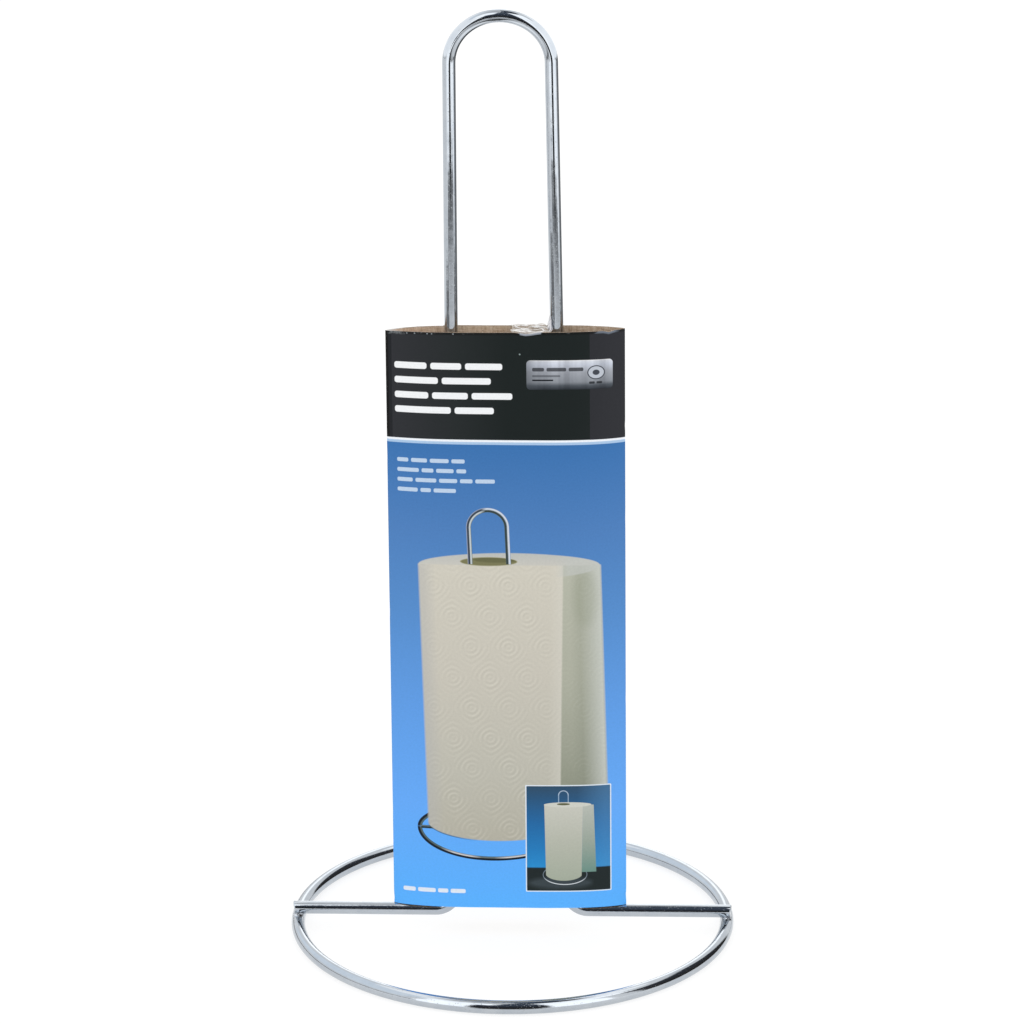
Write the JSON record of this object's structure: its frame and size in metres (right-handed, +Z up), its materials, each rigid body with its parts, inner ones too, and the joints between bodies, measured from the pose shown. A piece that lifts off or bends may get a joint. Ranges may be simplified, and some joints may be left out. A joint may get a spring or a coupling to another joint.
{
  "type": "paper towel holder",
  "caption": "Free-standing chrome wire holder for a paper towel roll: a round base ring, an upright loop welded across it, and a printed card sleeve that lifts off.",
  "frame": {"origin": "centre of the base ring, on the surface that it stands on", "axes": "+Z up along the upright loop, +X along the spokes, and -Y towards the printed face of the card sleeve"},
  "size_m": [0.1302, 0.13, 0.28],
  "materials": {
    "chrome_wire": "bright, mirror polished",
    "weld_metal": "plated over, lumpy",
    "printed_card": "printed outside with a satin varnish, bare brown kraft inside",
    "clear_tape": "clear, crinkled"
  },
  "bodies": {
    "holder": {"base_ring": "chrome_wire", "upright_loop": "chrome_wire", "weld_left": "weld_metal", "weld_right": "weld_metal", "tape_strip": "clear_tape"},
    "sleeve": {"card_sleeve": "printed_card"}
  },
  "joints": [
    {"name": "sleeve_lift", "type": "slide", "parent": "holder", "child": "sleeve", "axis": [0, 0, 1], "range_m": [0, 0.275]}
  ]
}
